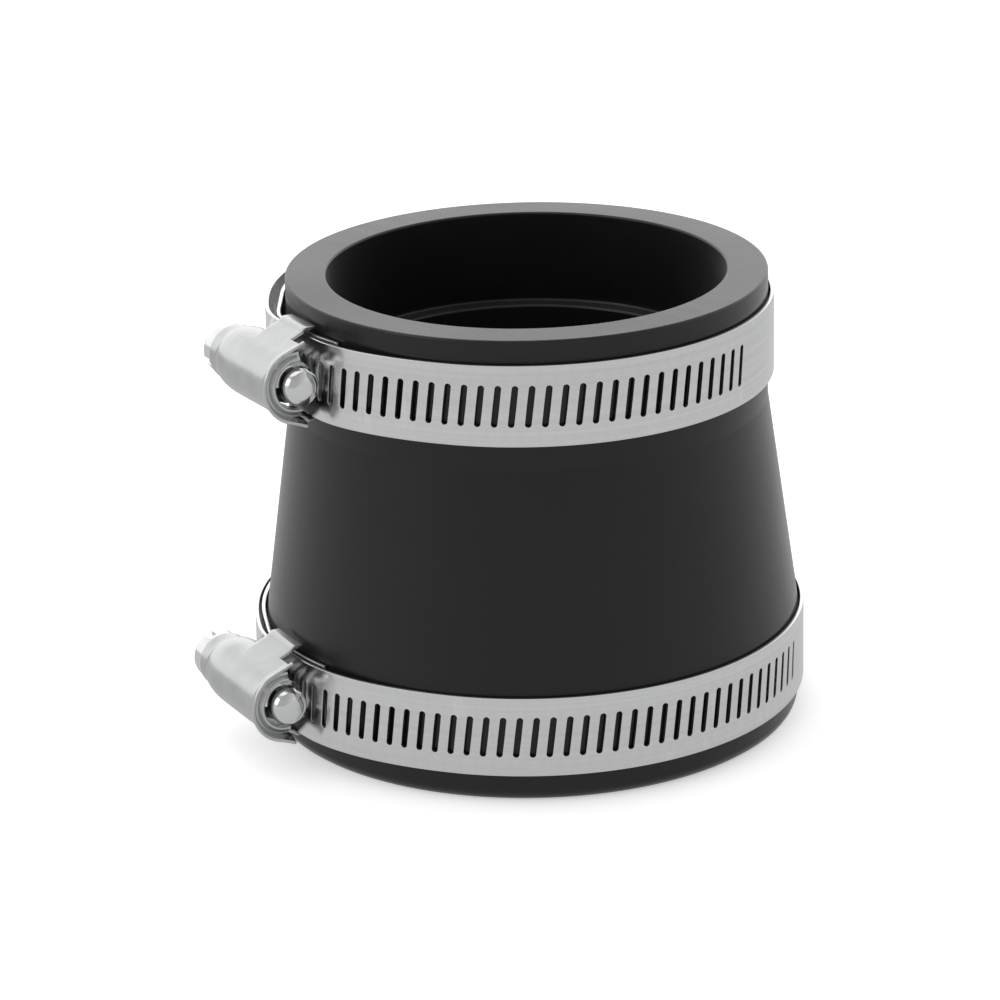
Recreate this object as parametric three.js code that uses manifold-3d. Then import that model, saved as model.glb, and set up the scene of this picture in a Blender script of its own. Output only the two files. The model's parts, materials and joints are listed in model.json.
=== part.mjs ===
// Flexible reducing pipe coupling: a moulded rubber sleeve with a small and a large end,
// and a worm-drive band clamp on each end. Millimetres, +Z up along the bore.
// The origin is on the bore axis, at the large end's face.

import * as THREE from 'three';
import { mergeVertices } from 'three/addons/utils/BufferGeometryUtils.js';
import Module from 'manifold-3d';

const wasm = await Module();
wasm.setup();

// Sleeve: outside
const SLEEVE_HEIGHT = 72;
const SMALL_COLLAR_RADIUS = 37.6;
const LARGE_COLLAR_RADIUS = 42.4;
const SMALL_COLLAR_FOOT_Z = 51.6;
const LARGE_COLLAR_TOP_Z = 17;
const LARGE_RIM_ROUND = 2;
const SMALL_RIM_BEVEL = 0.3;

// Sleeve: bore, with a stop shoulder for the pipe in each end
const SMALL_SOCKET_RADIUS = 31.2;
const SMALL_SOCKET_FLOOR_Z = 57;
const LARGE_SOCKET_RADIUS = 36;
const LARGE_SOCKET_ROOF_Z = 19;
const STOP_STEP = 2.3;
const SMALL_STOP_DEPTH = 4;
const SOCKET_MOUTH_BEVEL = 0.4;
const SLEEVE_SEGMENTS = 60;

// Bands
const BAND_WIDTH = 12.7;
const BAND_THICKNESS = 0.6;
const BAND_CLEARANCE = 0.35;
const LAYER_GAP = 0.2;

// Angles round a band, in degrees from the screw. On the head's side: the fixed end, and the tail.
// On the tip's side: the ramp up to the outer layer.
const FIXED_END_DEG = 7;
const TAIL_END_DEG = 78;
const RAMP_TOP_DEG = 12;
const RAMP_FOOT_DEG = 42;

// The saddle carries the free layer on from the fixed end to a tongue outside the mouth.
const SADDLE_HEAD_SIDE_DEG = 6.2;
const SADDLE_TONGUE_DEG = 11.8;

// Slots in the bands, one for each turn of the screw
const SLOT_PITCH = 2.54;
const SLOT_WIDTH = 0.95;
const SLOT_LENGTH = 6.5;
const SLOT_LEAN_DEG = 7;
const SLOT_CUT_BELOW = 0.15;
const SLOT_CUT_ABOVE = 0.5;
const TAIL_PLAIN_DEG = 4;

// Worm screw, placed along its own axis: negative towards the tip, positive towards the head
const CORE_RADIUS = 2.6;
const THREAD_RADIUS = 3.5;
const THREAD_CLEARANCE = 0.15;
const THREAD_START = -5;
const THREAD_END = 8.2;
const THREAD_ROOT_WIDTH = 1.5;
const THREAD_CREST_WIDTH = 0.7;
const THREAD_STEPS_PER_TURN = 10;
const TIP_RADIUS = 3;
const TIP_START = -5.6;
const TIP_END = -8.9;
const NECK_RADIUS = 3.3;
const NECK_START = 9.3;
const HEAD_RADIUS = 4.15;
const HEAD_START = 15.4;
const HEAD_END = 18.6;
const HEAD_ROUND = 1;
const DRIVER_SLOT_WIDTH = 1.3;
const DRIVER_SLOT_DEPTH = 2.4;
const SCREW_SEGMENTS = 20;

// Housing shell over the screw
const HOUSING_WALL = 0.75;
const HOUSING_TUBE_RADIUS = 5.4;
const HOUSING_MOUTH = -6.4;
const HOUSING_TUBE_END = 12.2;
const HOUSING_LIP_LENGTH = 1.2;
const HOUSING_LIP_FLARE = 0.8;
const HOUSING_COLLAR_RADIUS = 4.5;
const HOUSING_COLLAR_END = 15;
const SKIRT_GAP = 0.72;
const SKIRT_WALL = 0.5;
const SKIRT_HEAD_END = 5.4;
const SKIRT_TIP_END = -2.6;
const COLLAR_OPEN_BELOW = -3;

// The two clamps: band radius and height, which way each faces, how far its saddle stands off the
// collar, and how its screw and housing sit on it. The tables give how much further out than a plain
// round band the fixed end, the tail and the ramp stand, as [degrees from the screw, millimetres].
const UPPER_CLAMP = {
  prefix: 'upper',
  collarRadius: SMALL_COLLAR_RADIUS,
  height: 62.1,
  turnDeg: 209.5,
  standOff: 0.4,
  fixedEnd: [[0, 0.4], [6, 0.62], [10, 0.99], [12, 1.24], [14, 1.3], [17, 1.02], [21, 0.52], [25, 0.14], [29, 0]],
  tail: [[0, 0.4], [5, 0.55], [8, 0.8], [10.5, 1.08], [13, 1.42], [16, 1.64], [20, 1.66], [24, 1.5],
    [30, 1.38], [52, 1.34], [60, 1.05], [68, 0.7], [78, 0.5]],
  ramp: [[0, 0.4], [5, 0.5], [9, 0.58], [14, 0.42], [20, 0.18], [28, 0]],
  tongue: [[0, 0.4], [3, 0.36], [7, 0.1], [10, 0]],
  firstSlotDeg: 116.75,
  housingShift: 0.35,
  housingLift: 0.03,
  housingTiltDeg: 1,
  driverSlotDeg: 70,
};
const LOWER_CLAMP = {
  prefix: 'lower',
  collarRadius: LARGE_COLLAR_RADIUS,
  height: 11.05,
  turnDeg: 209.5,
  standOff: 0.1,
  fixedEnd: [[0, 0.1], [4, 0.22], [7, 0.44], [9, 0.6], [11, 0.6], [13.5, 0.38], [17, 0.12], [21, 0]],
  tail: [[0, 0.1], [5, 0.27], [8, 0.53], [10, 0.7], [13, 0.76], [16, 0.62], [20, 0.42], [26, 0.26],
    [34, 0.2], [50, 0.1], [66, 0]],
  ramp: [[0, 0.1], [5, 0.25], [9, 0.36], [14, 0.28], [20, 0.12], [28, 0]],
  tongue: [[0, 0.1], [3, 0.1], [7, 0.03], [10, 0]],
  firstSlotDeg: 130.7,
  housingShift: -0.35,
  housingLift: 0.6,
  housingTiltDeg: -0.6,
  driverSlotDeg: -20,
};

const RUBBER = { color: 0x2e2f31, roughness: 0.62, metalness: 0 };
const BRUSHED_STEEL = { color: 0xc2c4c6, roughness: 0.34, metalness: 1 };
const BRIGHT_STEEL = { color: 0xd6d8da, roughness: 0.18, metalness: 1 };

const radians = THREE.MathUtils.degToRad;
const { smoothstep, lerp } = THREE.MathUtils;

// A closed manifold solid from a three.js geometry.
function toSolid(geometry) {
  const bare = geometry.clone();
  bare.deleteAttribute('normal');
  bare.deleteAttribute('uv');
  const merged = mergeVertices(bare, 1e-5);
  return new wasm.Manifold(new wasm.Mesh({
    numProp: 3,
    vertProperties: new Float32Array(merged.attributes.position.array),
    triVerts: new Uint32Array(merged.index.array),
  }));
}

function toGeometry(solid) {
  const mesh = solid.getMesh();
  const geometry = new THREE.BufferGeometry();
  geometry.setAttribute('position', new THREE.BufferAttribute(mesh.vertProperties, 3));
  geometry.setIndex(new THREE.BufferAttribute(mesh.triVerts, 1));
  return geometry;
}

function namedMesh(name, geometry, finish) {
  const mesh = new THREE.Mesh(geometry, new THREE.MeshStandardMaterial(finish));
  mesh.name = name;
  return mesh;
}

function extrudeShape(points, depth) {
  return new THREE.ExtrudeGeometry(new THREE.Shape(points), { depth, bevelEnabled: false });
}

// Lays a shape drawn across the screw (x outwards, y up) along the screw, from start to end.
// The screw's tip points to +Y and its head to -Y.
function extrudeAlongScrew(points, start, end, axisRadius) {
  const geometry = extrudeShape(points, end - start);
  geometry.translate(0, 0, start);
  geometry.rotateX(Math.PI / 2);
  geometry.translate(axisRadius, 0, 0);
  return geometry;
}

// --- Sleeve ---

function sleeveProfile() {
  const profile = new THREE.Path();
  const top = SLEEVE_HEIGHT;
  profile.moveTo(LARGE_SOCKET_RADIUS + SOCKET_MOUTH_BEVEL, 0);
  profile.lineTo(LARGE_COLLAR_RADIUS - LARGE_RIM_ROUND, 0);
  profile.absarc(LARGE_COLLAR_RADIUS - LARGE_RIM_ROUND, LARGE_RIM_ROUND, LARGE_RIM_ROUND, -Math.PI / 2, 0);
  profile.lineTo(LARGE_COLLAR_RADIUS, LARGE_COLLAR_TOP_Z);
  profile.lineTo(SMALL_COLLAR_RADIUS, SMALL_COLLAR_FOOT_Z);
  profile.lineTo(SMALL_COLLAR_RADIUS, top - SMALL_RIM_BEVEL);
  profile.lineTo(SMALL_COLLAR_RADIUS - SMALL_RIM_BEVEL, top);
  profile.lineTo(SMALL_SOCKET_RADIUS + SOCKET_MOUTH_BEVEL, top);
  profile.lineTo(SMALL_SOCKET_RADIUS, top - SOCKET_MOUTH_BEVEL);
  profile.lineTo(SMALL_SOCKET_RADIUS, SMALL_SOCKET_FLOOR_Z);
  profile.lineTo(SMALL_SOCKET_RADIUS - STOP_STEP, SMALL_SOCKET_FLOOR_Z);
  profile.lineTo(SMALL_SOCKET_RADIUS - STOP_STEP, SMALL_SOCKET_FLOOR_Z - SMALL_STOP_DEPTH);
  profile.lineTo(LARGE_SOCKET_RADIUS - STOP_STEP, LARGE_SOCKET_ROOF_Z);
  profile.lineTo(LARGE_SOCKET_RADIUS, LARGE_SOCKET_ROOF_Z);
  profile.lineTo(LARGE_SOCKET_RADIUS, SOCKET_MOUTH_BEVEL);
  profile.closePath();
  return profile.getPoints(4);
}

function buildSleeve() {
  const geometry = new THREE.LatheGeometry(sleeveProfile(), SLEEVE_SEGMENTS);
  geometry.rotateX(Math.PI / 2);
  return namedMesh('rubber_sleeve', geometry, RUBBER);
}

// --- Clamp, in its own frame: +X through the screw, +Y towards the screw's tip ---

function clampSizes(layout) {
  const inner = layout.collarRadius + BAND_CLEARANCE;
  const freeInner = inner + BAND_THICKNESS + LAYER_GAP;
  const freeOuter = freeInner + BAND_THICKNESS + layout.standOff;
  const screw = freeOuter + THREAD_CLEARANCE + THREAD_RADIUS;
  return { inner, freeInner, freeOuter, screw };
}

// A smooth line through the points of a table, level before the first and after the last.
function through(table, at) {
  const last = table.length - 1;
  if (at <= table[0][0]) return table[0][1];
  if (at >= table[last][0]) return table[last][1];
  const i = table.findIndex(([x]) => x > at) - 1;
  const slope = (k) => {
    const [before, after] = [table[Math.max(k - 1, 0)], table[Math.min(k + 1, last)]];
    return (after[1] - before[1]) / (after[0] - before[0]);
  };
  const [[x0, y0], [x1, y1]] = [table[i], table[i + 1]];
  const width = x1 - x0;
  const t = (at - x0) / width;
  const curve = (1 - t) * (1 - t) * (slope(i) * width * t + y0 * (1 + 2 * t));
  return curve + t * t * (slope(i + 1) * width * (t - 1) + y1 * (3 - 2 * t));
}

function polar(radius, degrees) {
  return new THREE.Vector2(radius * Math.cos(radians(degrees)), radius * Math.sin(radians(degrees)));
}

// Inner face radius of the band. The turn runs from the fixed end on the head's side, away from the
// screw and right round, up the ramp, under the screw at 360 degrees, and out along the tail.
function bandRadius(sizes, turn, layout) {
  if (turn < 180) {
    return sizes.inner + through(layout.fixedEnd, turn);
  }
  if (turn < 360) {
    const climb = smoothstep(turn, 360 - RAMP_FOOT_DEG, 360 - RAMP_TOP_DEG);
    return lerp(sizes.inner, sizes.freeInner, climb) + through(layout.ramp, 360 - turn);
  }
  return sizes.freeInner + through(layout.tail, turn - 360);
}

// Where the slots are, in degrees of turn.
function slotTurns(sizes, firstSlotDeg) {
  const turns = [];
  const pitch = slotPitchDeg(sizes);
  for (let turn = 360 - firstSlotDeg; turn < 360 + TAIL_END_DEG - TAIL_PLAIN_DEG; turn += pitch) {
    turns.push(turn);
  }
  return turns;
}

function slotPitchDeg(sizes) {
  return THREE.MathUtils.radToDeg(SLOT_PITCH / (sizes.inner + BAND_THICKNESS));
}

// The strip seen from above. Its flats are one slot pitch long, and each slot is in the middle of one.
function bandOutline(sizes, layout) {
  const { firstSlotDeg } = layout;
  const pitch = slotPitchDeg(sizes);
  const lastTurn = 360 + TAIL_END_DEG;
  const plainFlats = Math.floor((360 - firstSlotDeg - FIXED_END_DEG) / pitch - 1);
  const turns = [FIXED_END_DEG];
  const firstFold = 360 - firstSlotDeg - (plainFlats + 0.5) * pitch;
  for (let turn = firstFold; turn < lastTurn - pitch / 2; turn += pitch) {
    turns.push(turn);
  }
  turns.push(lastTurn);
  const innerFace = turns.map((turn) => polar(bandRadius(sizes, turn, layout), -turn));
  const outerFace = turns.map((turn) => polar(bandRadius(sizes, turn, layout) + BAND_THICKNESS, -turn));
  return innerFace.concat(outerFace.reverse());
}

// A slot with eight corners, cut square to the band at a radius and leaning like the thread.
function slotCutter(radius, degrees) {
  const halfWidth = SLOT_WIDTH / 2;
  const endStart = SLOT_LENGTH / 2 - halfWidth;
  const cornerWidth = halfWidth / 2;
  const corners = [
    [halfWidth, -endStart], [halfWidth, endStart],
    [cornerWidth, SLOT_LENGTH / 2], [-cornerWidth, SLOT_LENGTH / 2],
    [-halfWidth, endStart], [-halfWidth, -endStart],
    [-cornerWidth, -SLOT_LENGTH / 2], [cornerWidth, -SLOT_LENGTH / 2],
  ];
  const shape = corners.map(([x, y]) => new THREE.Vector2(x, y));
  const depth = SLOT_CUT_BELOW + BAND_THICKNESS + SLOT_CUT_ABOVE;
  const geometry = extrudeShape(shape, depth);
  geometry.rotateZ(radians(-SLOT_LEAN_DEG));
  geometry.translate(0, 0, radius - SLOT_CUT_BELOW);
  geometry.rotateX(Math.PI / 2);
  geometry.rotateZ(Math.PI / 2 + radians(degrees));
  return toSolid(geometry);
}

function buildBand(name, sizes, layout) {
  const strip = extrudeShape(bandOutline(sizes, layout), BAND_WIDTH);
  strip.translate(0, 0, -BAND_WIDTH / 2);
  let solid = toSolid(strip);
  for (const turn of slotTurns(sizes, layout.firstSlotDeg)) {
    solid = solid.subtract(slotCutter(bandRadius(sizes, turn, layout), -turn));
  }
  return namedMesh(name, toGeometry(solid), BRUSHED_STEEL);
}

function buildSaddle(name, sizes, layout) {
  const steps = 8;
  const innerFace = [];
  const outerFace = [];
  for (let i = 0; i <= steps; i += 1) {
    const degrees = lerp(-SADDLE_HEAD_SIDE_DEG, SADDLE_TONGUE_DEG, i / steps);
    const table = degrees < 0 ? layout.fixedEnd : layout.tongue;
    const radius = sizes.inner + through(table, Math.abs(degrees));
    innerFace.push(polar(radius, degrees));
    outerFace.push(polar(radius + BAND_THICKNESS, degrees));
  }
  const geometry = extrudeShape(outerFace.concat(innerFace.reverse()), BAND_WIDTH);
  geometry.translate(0, 0, -BAND_WIDTH / 2);
  return namedMesh(name, geometry, BRUSHED_STEEL);
}

// --- Housing: x is measured outwards from the screw's axis ---

// One side of the arch from the skirt's foot to the top of the tube, mirrored for the other side.
function archFace(foot, shoulder, halfWidth, tubeRadius) {
  const side = new THREE.Path();
  side.moveTo(foot, halfWidth);
  side.lineTo(shoulder, halfWidth);
  side.quadraticCurveTo(shoulder + 0.5, tubeRadius + 0.2, 0.5, tubeRadius);
  side.absarc(0, 0, tubeRadius, Math.PI / 2 - 0.2, 0, true);
  const points = side.getPoints(3);
  const mirrored = points.slice(0, -1).reverse().map((p) => new THREE.Vector2(p.x, -p.y));
  return points.concat(mirrored);
}

function archShape(sizes, tubeRadius, wall) {
  const foot = sizes.inner + 0.3 - sizes.screw;
  const shoulder = sizes.freeOuter + 0.3 - sizes.screw;
  const innerHalf = BAND_WIDTH / 2 + SKIRT_GAP;
  const outer = archFace(foot, shoulder, innerHalf + SKIRT_WALL, tubeRadius);
  const inner = archFace(foot, shoulder, innerHalf, tubeRadius - wall);
  return outer.concat(inner.reverse());
}

// A ring round the screw, left open below where the tail of the band passes.
function openRing(outerRadius, innerRadius, openBelow) {
  const ring = new THREE.Path();
  const outerAngle = Math.acos(openBelow / outerRadius);
  const innerAngle = Math.acos(openBelow / innerRadius);
  ring.absarc(0, 0, outerRadius, -outerAngle, outerAngle);
  ring.absarc(0, 0, innerRadius, innerAngle, -innerAngle, true);
  return ring.getPoints(9).slice(0, -1);
}

// A wedge that trims the skirts back towards one end of the tube. Its slope starts above the band at
// skirtEnd and reaches the tube's side at tubeEnd.
function skirtCut(sizes, skirtEnd, tubeEnd) {
  const belowSkirts = sizes.inner - 2;
  const aboveBand = sizes.screw + COLLAR_OPEN_BELOW;
  const outline = [
    new THREE.Vector2(belowSkirts, -skirtEnd),
    new THREE.Vector2(belowSkirts, -tubeEnd),
    new THREE.Vector2(sizes.screw, -tubeEnd),
    new THREE.Vector2(aboveBand, -skirtEnd),
  ];
  const geometry = extrudeShape(tubeEnd > skirtEnd ? outline.reverse() : outline, 2 * BAND_WIDTH);
  geometry.translate(0, 0, -BAND_WIDTH);
  return toSolid(geometry);
}

function buildHousing(name, sizes) {
  const part = (points, start, end) => toSolid(extrudeAlongScrew(points, start, end, sizes.screw));
  const midWall = HOUSING_TUBE_RADIUS - HOUSING_WALL / 2;
  const bore = HOUSING_COLLAR_RADIUS - HOUSING_WALL;
  const lip = openRing(HOUSING_TUBE_RADIUS + HOUSING_LIP_FLARE, midWall, -0.5);
  const step = openRing(midWall, bore, COLLAR_OPEN_BELOW);
  const collar = openRing(HOUSING_COLLAR_RADIUS, bore, COLLAR_OPEN_BELOW);
  const stepEnd = HOUSING_TUBE_END - HOUSING_WALL / 4;
  const solid = part(archShape(sizes, HOUSING_TUBE_RADIUS, HOUSING_WALL), HOUSING_MOUTH, HOUSING_TUBE_END)
    .subtract(skirtCut(sizes, SKIRT_HEAD_END, HOUSING_TUBE_END + 1))
    .subtract(skirtCut(sizes, SKIRT_TIP_END, HOUSING_MOUTH - 1))
    .add(part(lip, HOUSING_MOUTH - HOUSING_LIP_LENGTH / 2, HOUSING_MOUTH + HOUSING_LIP_LENGTH / 2))
    .add(part(step, stepEnd - HOUSING_WALL, stepEnd))
    .add(part(collar, stepEnd - HOUSING_WALL / 2, HOUSING_COLLAR_END));
  return namedMesh(name, toGeometry(solid), BRUSHED_STEEL);
}

// --- Worm screw, turned about Y with its tip towards +Y ---

// The thread's crest line. Its frames keep the section square to the screw.
class ThreadHelix extends THREE.Curve {
  constructor(radius, start, end) {
    super();
    this.radius = radius;
    this.start = start;
    this.end = end;
    this.turns = (end - start) / SLOT_PITCH;
  }

  getPoint(t, target = new THREE.Vector3()) {
    const angle = 2 * Math.PI * this.turns * t;
    const along = lerp(this.start, this.end, t);
    return target.set(this.radius * Math.cos(angle), this.radius * Math.sin(angle), along);
  }

  computeFrenetFrames(segments) {
    const frames = { tangents: [], normals: [], binormals: [] };
    for (let i = 0; i <= segments; i += 1) {
      const angle = 2 * Math.PI * this.turns * i / segments;
      const normal = new THREE.Vector3(Math.cos(angle), Math.sin(angle), 0);
      const tangent = this.getTangentAt(i / segments);
      frames.normals.push(normal);
      frames.tangents.push(tangent);
      frames.binormals.push(new THREE.Vector3().crossVectors(tangent, normal));
    }
    return frames;
  }
}

function screwThread() {
  const rootDepth = CORE_RADIUS - 0.2 - THREAD_RADIUS;
  const section = new THREE.Shape([
    new THREE.Vector2(rootDepth, -THREAD_ROOT_WIDTH / 2),
    new THREE.Vector2(0, -THREAD_CREST_WIDTH / 2),
    new THREE.Vector2(0, THREAD_CREST_WIDTH / 2),
    new THREE.Vector2(rootDepth, THREAD_ROOT_WIDTH / 2),
  ]);
  const helix = new ThreadHelix(THREAD_RADIUS, THREAD_START, THREAD_END);
  const steps = Math.round(helix.turns * THREAD_STEPS_PER_TURN);
  return new THREE.ExtrudeGeometry(section, { steps, extrudePath: helix, bevelEnabled: false });
}

function screwBody() {
  const tipRound = TIP_RADIUS * 0.5;
  const profile = new THREE.Path();
  profile.moveTo(0, TIP_END);
  profile.lineTo(TIP_RADIUS - tipRound, TIP_END);
  profile.quadraticCurveTo(TIP_RADIUS, TIP_END, TIP_RADIUS, TIP_END + tipRound);
  profile.lineTo(TIP_RADIUS, TIP_START);
  profile.lineTo(CORE_RADIUS, TIP_START + 0.3);
  profile.lineTo(CORE_RADIUS, NECK_START);
  profile.lineTo(NECK_RADIUS, NECK_START);
  profile.lineTo(NECK_RADIUS, HEAD_START);
  profile.lineTo(HEAD_RADIUS, HEAD_START);
  profile.lineTo(HEAD_RADIUS, HEAD_END - HEAD_ROUND);
  profile.quadraticCurveTo(HEAD_RADIUS, HEAD_END, HEAD_RADIUS - HEAD_ROUND, HEAD_END);
  profile.lineTo(0, HEAD_END);
  const geometry = new THREE.LatheGeometry(profile.getPoints(3), SCREW_SEGMENTS);
  geometry.rotateX(Math.PI / 2);
  return geometry;
}

function driverSlot(turn) {
  const slot = new THREE.BoxGeometry(DRIVER_SLOT_WIDTH, 3 * HEAD_RADIUS, 2 * DRIVER_SLOT_DEPTH);
  slot.translate(0, 0, HEAD_END);
  slot.rotateZ(radians(turn));
  return slot;
}

function buildScrew(name, sizes, slotTurn) {
  const solid = toSolid(screwBody()).add(toSolid(screwThread())).subtract(toSolid(driverSlot(slotTurn)));
  const geometry = toGeometry(solid);
  geometry.rotateX(Math.PI / 2);
  geometry.translate(sizes.screw, 0, 0);
  return namedMesh(name, geometry, BRIGHT_STEEL);
}

// --- Assembly ---

function buildClamp(layout) {
  const { prefix } = layout;
  const sizes = clampSizes(layout);
  const drive = new THREE.Group();
  drive.add(buildHousing(`${prefix}_housing`, sizes));
  drive.add(buildScrew(`${prefix}_screw`, sizes, layout.driverSlotDeg));
  drive.position.set(0, -layout.housingShift, layout.housingLift);
  drive.rotation.x = radians(layout.housingTiltDeg);
  const clamp = new THREE.Group();
  clamp.add(buildBand(`${prefix}_band`, sizes, layout));
  clamp.add(buildSaddle(`${prefix}_saddle`, sizes, layout));
  clamp.add(drive);
  clamp.position.z = layout.height;
  clamp.rotation.z = radians(layout.turnDeg);
  return clamp;
}

const coupling = new THREE.Group();
coupling.add(buildSleeve());
coupling.add(buildClamp(UPPER_CLAMP));
coupling.add(buildClamp(LOWER_CLAMP));

export default coupling;
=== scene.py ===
"""Flexible reducing pipe coupling: a moulded rubber sleeve and two worm-drive band clamps."""
import json
import math

import bmesh
import bpy
from mathutils import Matrix, Vector


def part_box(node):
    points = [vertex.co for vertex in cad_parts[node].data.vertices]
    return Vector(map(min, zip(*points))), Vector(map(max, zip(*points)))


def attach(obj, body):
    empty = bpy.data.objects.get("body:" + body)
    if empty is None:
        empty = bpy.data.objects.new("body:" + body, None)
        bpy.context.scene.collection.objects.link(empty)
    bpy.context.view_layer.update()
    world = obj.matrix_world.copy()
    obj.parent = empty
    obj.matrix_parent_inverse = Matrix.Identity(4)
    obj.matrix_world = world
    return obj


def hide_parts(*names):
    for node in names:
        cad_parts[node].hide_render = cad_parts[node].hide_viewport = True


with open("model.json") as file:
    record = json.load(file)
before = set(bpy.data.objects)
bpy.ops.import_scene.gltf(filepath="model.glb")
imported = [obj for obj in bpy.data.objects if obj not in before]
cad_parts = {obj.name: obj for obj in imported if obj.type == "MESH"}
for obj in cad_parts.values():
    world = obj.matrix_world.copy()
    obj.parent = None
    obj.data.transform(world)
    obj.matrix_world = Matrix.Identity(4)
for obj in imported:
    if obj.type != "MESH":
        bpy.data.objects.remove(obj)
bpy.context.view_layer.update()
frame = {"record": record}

MM = 0.001
record = frame["record"]
joints = {joint["name"]: joint for joint in record["behaviour"]["joints"]}

# Sleeve. Its largest radius and its height come from the frame.
sleeve_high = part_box("rubber_sleeve")[1]
SLEEVE_HEIGHT = sleeve_high[2]
LARGE_RADIUS = sleeve_high[0]
SMALL_RADIUS = 37.6 * MM
SMALL_COLLAR_FOOT = SLEEVE_HEIGHT - 20.4 * MM
LARGE_COLLAR_TOP = 17 * MM
SMALL_BORE = 31.2 * MM
LARGE_BORE = 36 * MM
STOP_STEP = 2.3 * MM
SMALL_STOP_TOP = 57 * MM
SMALL_STOP_FOOT = 53 * MM
LARGE_STOP_FOOT = 19 * MM
SLEEVE_SIDES = 256

# Verts closer than this are one vert
TOUCH = 0.004 * MM

# Bands
BAND_WIDTH = 12.7 * MM
BAND_THICKNESS = 0.6 * MM
BAND_CLEARANCE = 0.33 * MM
LAYER_GAP = 0.2 * MM
SLOT_WIDTH = 0.95 * MM
SLOT_LENGTH = 6.5 * MM
SLOT_LEAN = math.radians(7)
SLOT_SPACING = 2.54 * MM
STRIP_EDGE = 0.1 * MM
SADDLE_EDGE = 0.12 * MM

# Round a band, in degrees from the screw, and the length of the plain stretch at the tail's end
FIXED_END = 7
TAIL_END = 78
RAMP_TOP = 12
RAMP_FOOT = 42
SADDLE_START = -6.2
SADDLE_TONGUE = 11.8
TAIL_PLAIN = 4

# Faces across and along the flat strips
STRIP_ROWS = 7
COLUMNS_IN_PITCH = 3
TIP_COLUMNS = 6
SLOT_SIDES = 20
SADDLE_COLUMNS = 18
SADDLE_STEPS = 64

# The two clamps. Collar is the radius that each one grips, stand_off how far its strip stands out under
# the screw, first_slot where its slots begin, and driver_turn the angle of the slot in its screw's
# head. The tables say how far the strip stands out from a plain round band, as (degrees from the
# screw, millimetres): its fixed end, its tail, its ramp from one to the other, and the saddle's tongue.
CLAMPS = {
    "upper": {
        "collar": SMALL_RADIUS,
        "stand_off": 0.4 * MM,
        "first_slot": 116.75,
        "driver_turn": 70,
        "fixed_end": [(0, 0.4), (6, 0.62), (10, 0.99), (12, 1.24), (14, 1.3), (17, 1.02),
                      (21, 0.52), (25, 0.14), (29, 0)],
        "tail": [(0, 0.4), (5, 0.55), (8, 0.8), (10.5, 1.08), (13, 1.42), (16, 1.64), (20, 1.66),
                 (24, 1.5), (30, 1.38), (52, 1.34), (60, 1.05), (68, 0.7), (78, 0.5)],
        "ramp": [(0, 0.4), (5, 0.5), (9, 0.58), (14, 0.42), (20, 0.18), (28, 0)],
        "tongue": [(0, 0.4), (3, 0.36), (7, 0.1), (10, 0)],
    },
    "lower": {
        "collar": LARGE_RADIUS,
        "stand_off": 0.1 * MM,
        "first_slot": 130.7,
        "driver_turn": -20,
        "fixed_end": [(0, 0.1), (4, 0.22), (7, 0.44), (9, 0.6), (11, 0.6), (13.5, 0.38), (17, 0.12),
                      (21, 0)],
        "tail": [(0, 0.1), (5, 0.27), (8, 0.53), (10, 0.7), (13, 0.76), (16, 0.62), (20, 0.42),
                 (26, 0.26), (34, 0.2), (50, 0.1), (66, 0)],
        "ramp": [(0, 0.1), (5, 0.25), (9, 0.36), (14, 0.28), (20, 0.12), (28, 0)],
        "tongue": [(0, 0.1), (3, 0.1), (7, 0.03), (10, 0)],
    },
}

# Worm screw. Starts and ends are places along its axis, which grow towards the head.
CORE_RADIUS = 2.6 * MM
THREAD_RADIUS = 3.5 * MM
THREAD_CLEARANCE = 0.15 * MM
THREAD_START = -5 * MM
THREAD_END = 8.2 * MM
THREAD_ROOT_WIDTH = 1.5 * MM
THREAD_ROOT_DEPTH = 0.25 * MM
THREAD_CREST_SHARE = 0.45
THREAD_ROUND = 0.14 * MM
STEPS_IN_TURN = 48
TIP_RADIUS = 3 * MM
TIP_START = -5.6 * MM
TIP_END = -8.85 * MM
NECK_START = 9.3 * MM
NECK_RADIUS = 3.3 * MM
HEAD_START = 15.4 * MM
HEAD_END = 18.6 * MM
HEAD_RADIUS = 4.05 * MM
DRIVER_SLOT_WIDTH = 1.3 * MM
DRIVER_SLOT_DEPTH = 2.4 * MM
SCREW_SIDES = 72

# Housing shell
SHELL_WALL = 0.55 * MM
SKIRT_HALF = 7.55 * MM
SKIRT_FOOT = 0.1 * MM
WALL_OPENING = -0.6 * MM

# Degrees from the shell's top line to the end of its tube, and of its nose
TUBE_ARC = 72
NOSE_ARC = 130

# Places along the screw, in millimetres
MOUTH_PLACE = -5.0
WING_TIP_END = -2.4
WING_HEAD_END = 5.4
NOSE_END = 15

# Rings of verts from the mouth to the wing, then counts of them along the wing and the nose, and
# of faces round the tube. The wing's outer part starts at its seventh step out from the tube.
MOUTH_STATIONS = [MOUTH_PLACE, -4.4, -3.8, -3.1]
WING_STATIONS = 12
NOSE_STATIONS = 32
TUBE_ROWS = 36
WING_CUT = 7

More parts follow.
